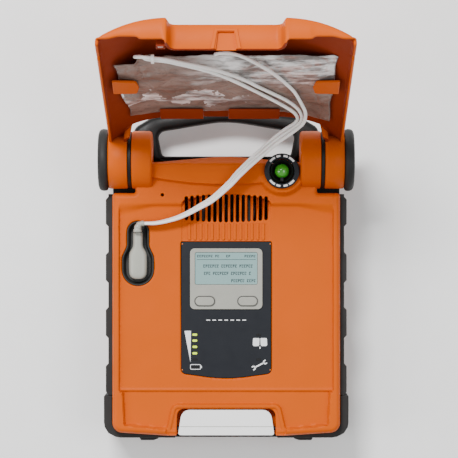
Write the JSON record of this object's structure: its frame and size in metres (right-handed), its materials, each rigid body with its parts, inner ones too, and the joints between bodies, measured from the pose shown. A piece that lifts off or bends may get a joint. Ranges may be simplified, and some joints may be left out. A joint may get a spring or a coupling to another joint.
{
  "type": "defibrillator",
  "caption": "Portable defibrillator lying on its back with a raised hinged lid, control panel, carrying handle, rubber corners, pads pouch and white pad leads.",
  "frame": {"origin": "centre of the flat back that the device lies on", "axes": "+Z out of the control face, +Y to the carrying handle, +X to the device's right"},
  "size_m": [0.23, 0.3614, 0.2932],
  "materials": {
    "orange_plastic": "fine-textured moulded orange plastic",
    "dark_rubber": "matt charcoal rubber",
    "black_plastic": "matt black plastic",
    "panel_plastic": "matt blue-black overlay",
    "warm_grey_plastic": "satin warm grey plastic",
    "display_glass": "pale blue-green display window",
    "lamp_lens": "tinted lamp lenses",
    "status_green": "glossy green and red ball",
    "pouch_foil": "crumpled foil laminate pouch",
    "white_plastic": "satin white plastic",
    "lead_jacket": "soft warm white lead jacket",
    "steel": "plain steel",
    "winding": "wrapped winding",
    "circuit_board": "green circuit board"
  },
  "bodies": {
    "root": {"rear_housing": "orange_plastic", "housing_gasket": "dark_rubber", "front_housing": "orange_plastic", "side_bumper_left": "dark_rubber", "side_bumper_right": "dark_rubber", "bottom_boot": "dark_rubber", "foot_left": "dark_rubber", "foot_right": "dark_rubber", "handle": "black_plastic", "hinge_pin_left": "steel", "hinge_pin_right": "steel", "pad_socket": "black_plastic", "pad_plug": "warm_grey_plastic", "plug_boot": "warm_grey_plastic", "control_panel": "panel_plastic", "display_bezel": "warm_grey_plastic", "display": "display_glass", "battery_light_1": "lamp_lens", "battery_light_2": "lamp_lens", "battery_light_3": "lamp_lens", "battery_light_4": "lamp_lens", "pads_light": "lamp_lens", "service_light": "lamp_lens", "status_ring": "black_plastic", "status_dish": "black_plastic", "speaker_frame": "steel", "speaker_cone": "black_plastic", "main_board": "circuit_board", "storage_capacitor": "steel", "transformer": "winding", "battery_bay": "black_plastic", "housing_screw_1": "steel", "housing_screw_2": "steel", "housing_screw_3": "steel", "housing_screw_4": "steel", "key_dome_left": "steel", "key_dome_right": "steel", "latch_pin": "steel", "latch_spring": "steel", "lead_long": "lead_jacket", "lead_middle": "lead_jacket", "lead_short": "lead_jacket"},
    "lid": {"lid_shell": "orange_plastic", "hinge_bush_left": "white_plastic", "hinge_bush_right": "white_plastic", "hinge_cap_left": "dark_rubber", "hinge_cap_right": "dark_rubber", "pouch_clip_left": "orange_plastic", "pouch_clip_right": "orange_plastic", "pouch_clip_lower_left": "orange_plastic", "pouch_clip_lower_right": "orange_plastic", "magnet_holder": "black_plastic", "lid_magnet": "steel", "pads_pouch": "pouch_foil", "lead_tie": "lead_jacket"},
    "soft_key_left": {"soft_key_left": "warm_grey_plastic"},
    "soft_key_right": {"soft_key_right": "warm_grey_plastic"},
    "status_ball": {"status_ball": "status_green"},
    "battery": {"battery_pack": "black_plastic"},
    "latch": {"latch": "white_plastic"}
  },
  "joints": [
    {"name": "lid_hinge", "type": "hinge", "parent": "root", "child": "lid", "pos_m": [0, 0.1227, 0.062], "axis": [1, 0, 0], "range_deg": [0, 108.5], "deforming": ["lead_long", "lead_middle", "lead_short"]},
    {"name": "soft_key_left_press", "type": "slide", "parent": "root", "child": "soft_key_left", "axis": [0, 0, -1], "range_m": [0, 0.0008], "stiffness_N_per_m": 800},
    {"name": "soft_key_right_press", "type": "slide", "parent": "root", "child": "soft_key_right", "axis": [0, 0, -1], "range_m": [0, 0.0008], "stiffness_N_per_m": 800},
    {"name": "status_ball_turn", "type": "hinge", "parent": "root", "child": "status_ball", "pos_m": [0.0499, 0.1123, 0.075], "axis": [0, 1, 0], "range_deg": [0, 180]},
    {"name": "battery_slide", "type": "slide", "parent": "root", "child": "battery", "axis": [0, -1, 0], "range_m": [0, 0.1]},
    {"name": "latch_lift", "type": "hinge", "parent": "root", "child": "latch", "pos_m": [0, -0.12, 0.06], "axis": [1, 0, 0], "range_deg": [0, 9], "stiffness_Nm_per_rad": 0.3}
  ]
}
